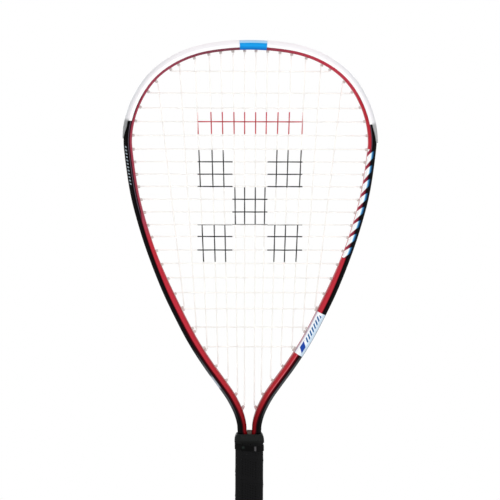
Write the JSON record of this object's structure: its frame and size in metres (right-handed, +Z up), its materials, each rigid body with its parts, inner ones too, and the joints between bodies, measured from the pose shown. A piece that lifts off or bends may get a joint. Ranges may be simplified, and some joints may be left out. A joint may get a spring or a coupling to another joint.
{
  "type": "racquetball racket",
  "caption": "Strung racquetball racket with a tear-drop hollow frame, a guard round the head, a wound octagonal grip and a flared butt cap.",
  "frame": {"origin": "middle of the butt cap's flat end, with the racket upright", "axes": "+Z up the handle to the top of the head, X across the head, +Y from the front face to the back face"},
  "size_m": [0.2518, 0.03, 0.5588],
  "materials": {
    "frame_lacquer": "lacquered composite, red inside and black outside, semi gloss",
    "guard_plastic": "white moulded nylon, satin",
    "band_plastic": "blue moulded plastic, satin",
    "grommet_plastic": "pale grey nylon, satin",
    "throat_grommet_plastic": "dark grey nylon, satin",
    "string_nylon": "natural white multifilament, slight gloss, stencilled in places",
    "insert_rubber": "dark matt rubber",
    "pallet_foam": "rigid grey foam",
    "collar_rubber": "black rubber, matt",
    "tape_vinyl": "black finishing tape, satin",
    "grip_synthetic": "black soft synthetic tape with small holes, matt",
    "cap_plastic": "black moulded plastic, matt",
    "staple_steel": "zinc plated wire"
  },
  "bodies": {
    "root": {"frame": "frame_lacquer", "bumper_guard": "guard_plastic", "top_band": "band_plastic", "grommet_strip_left": "grommet_plastic", "grommet_strip_right": "grommet_plastic", "throat_grommet_left_inner": "throat_grommet_plastic", "throat_grommet_left_outer": "throat_grommet_plastic", "throat_grommet_right_inner": "throat_grommet_plastic", "throat_grommet_right_outer": "throat_grommet_plastic", "main_string": "string_nylon", "cross_string": "string_nylon", "throat_insert": "insert_rubber", "handle_pallet_front": "pallet_foam", "handle_pallet_back": "pallet_foam", "collar": "collar_rubber", "finishing_tape": "tape_vinyl", "grip_tape": "grip_synthetic", "butt_cap": "cap_plastic", "butt_staple_front": "staple_steel", "butt_staple_back": "staple_steel"}
  },
  "joints": []
}
